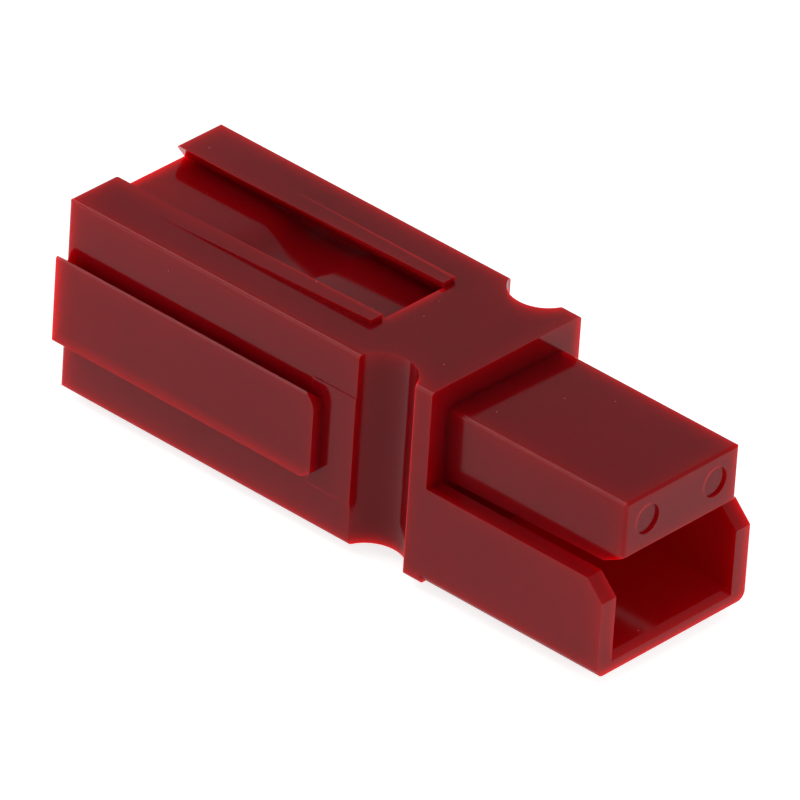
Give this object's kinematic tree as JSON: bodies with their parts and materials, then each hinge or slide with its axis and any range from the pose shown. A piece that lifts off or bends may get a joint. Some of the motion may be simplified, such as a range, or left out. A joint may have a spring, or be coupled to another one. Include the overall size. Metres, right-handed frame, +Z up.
{
  "type": "genderless power connector",
  "caption": "Square stackable single-pole power connector housing with an open hood, an equal tongue, a wire barrel contact and a leaf spring",
  "frame": {"origin": "the middle of the wire entry, in the plane of the rear face", "axes": "+X runs along the connector to its mating end, +Z is up, from the hood's side to the tongue's side, and Y runs across it"},
  "size_m": [0.0523, 0.0172, 0.0173],
  "materials": {
    "housing": "glossy moulded polycarbonate, red, slightly translucent",
    "contact": null,
    "spring": "stainless spring steel"
  },
  "bodies": {
    "root": {"housing": "housing", "contact": "contact", "retention_spring": "spring"}
  },
  "joints": []
}
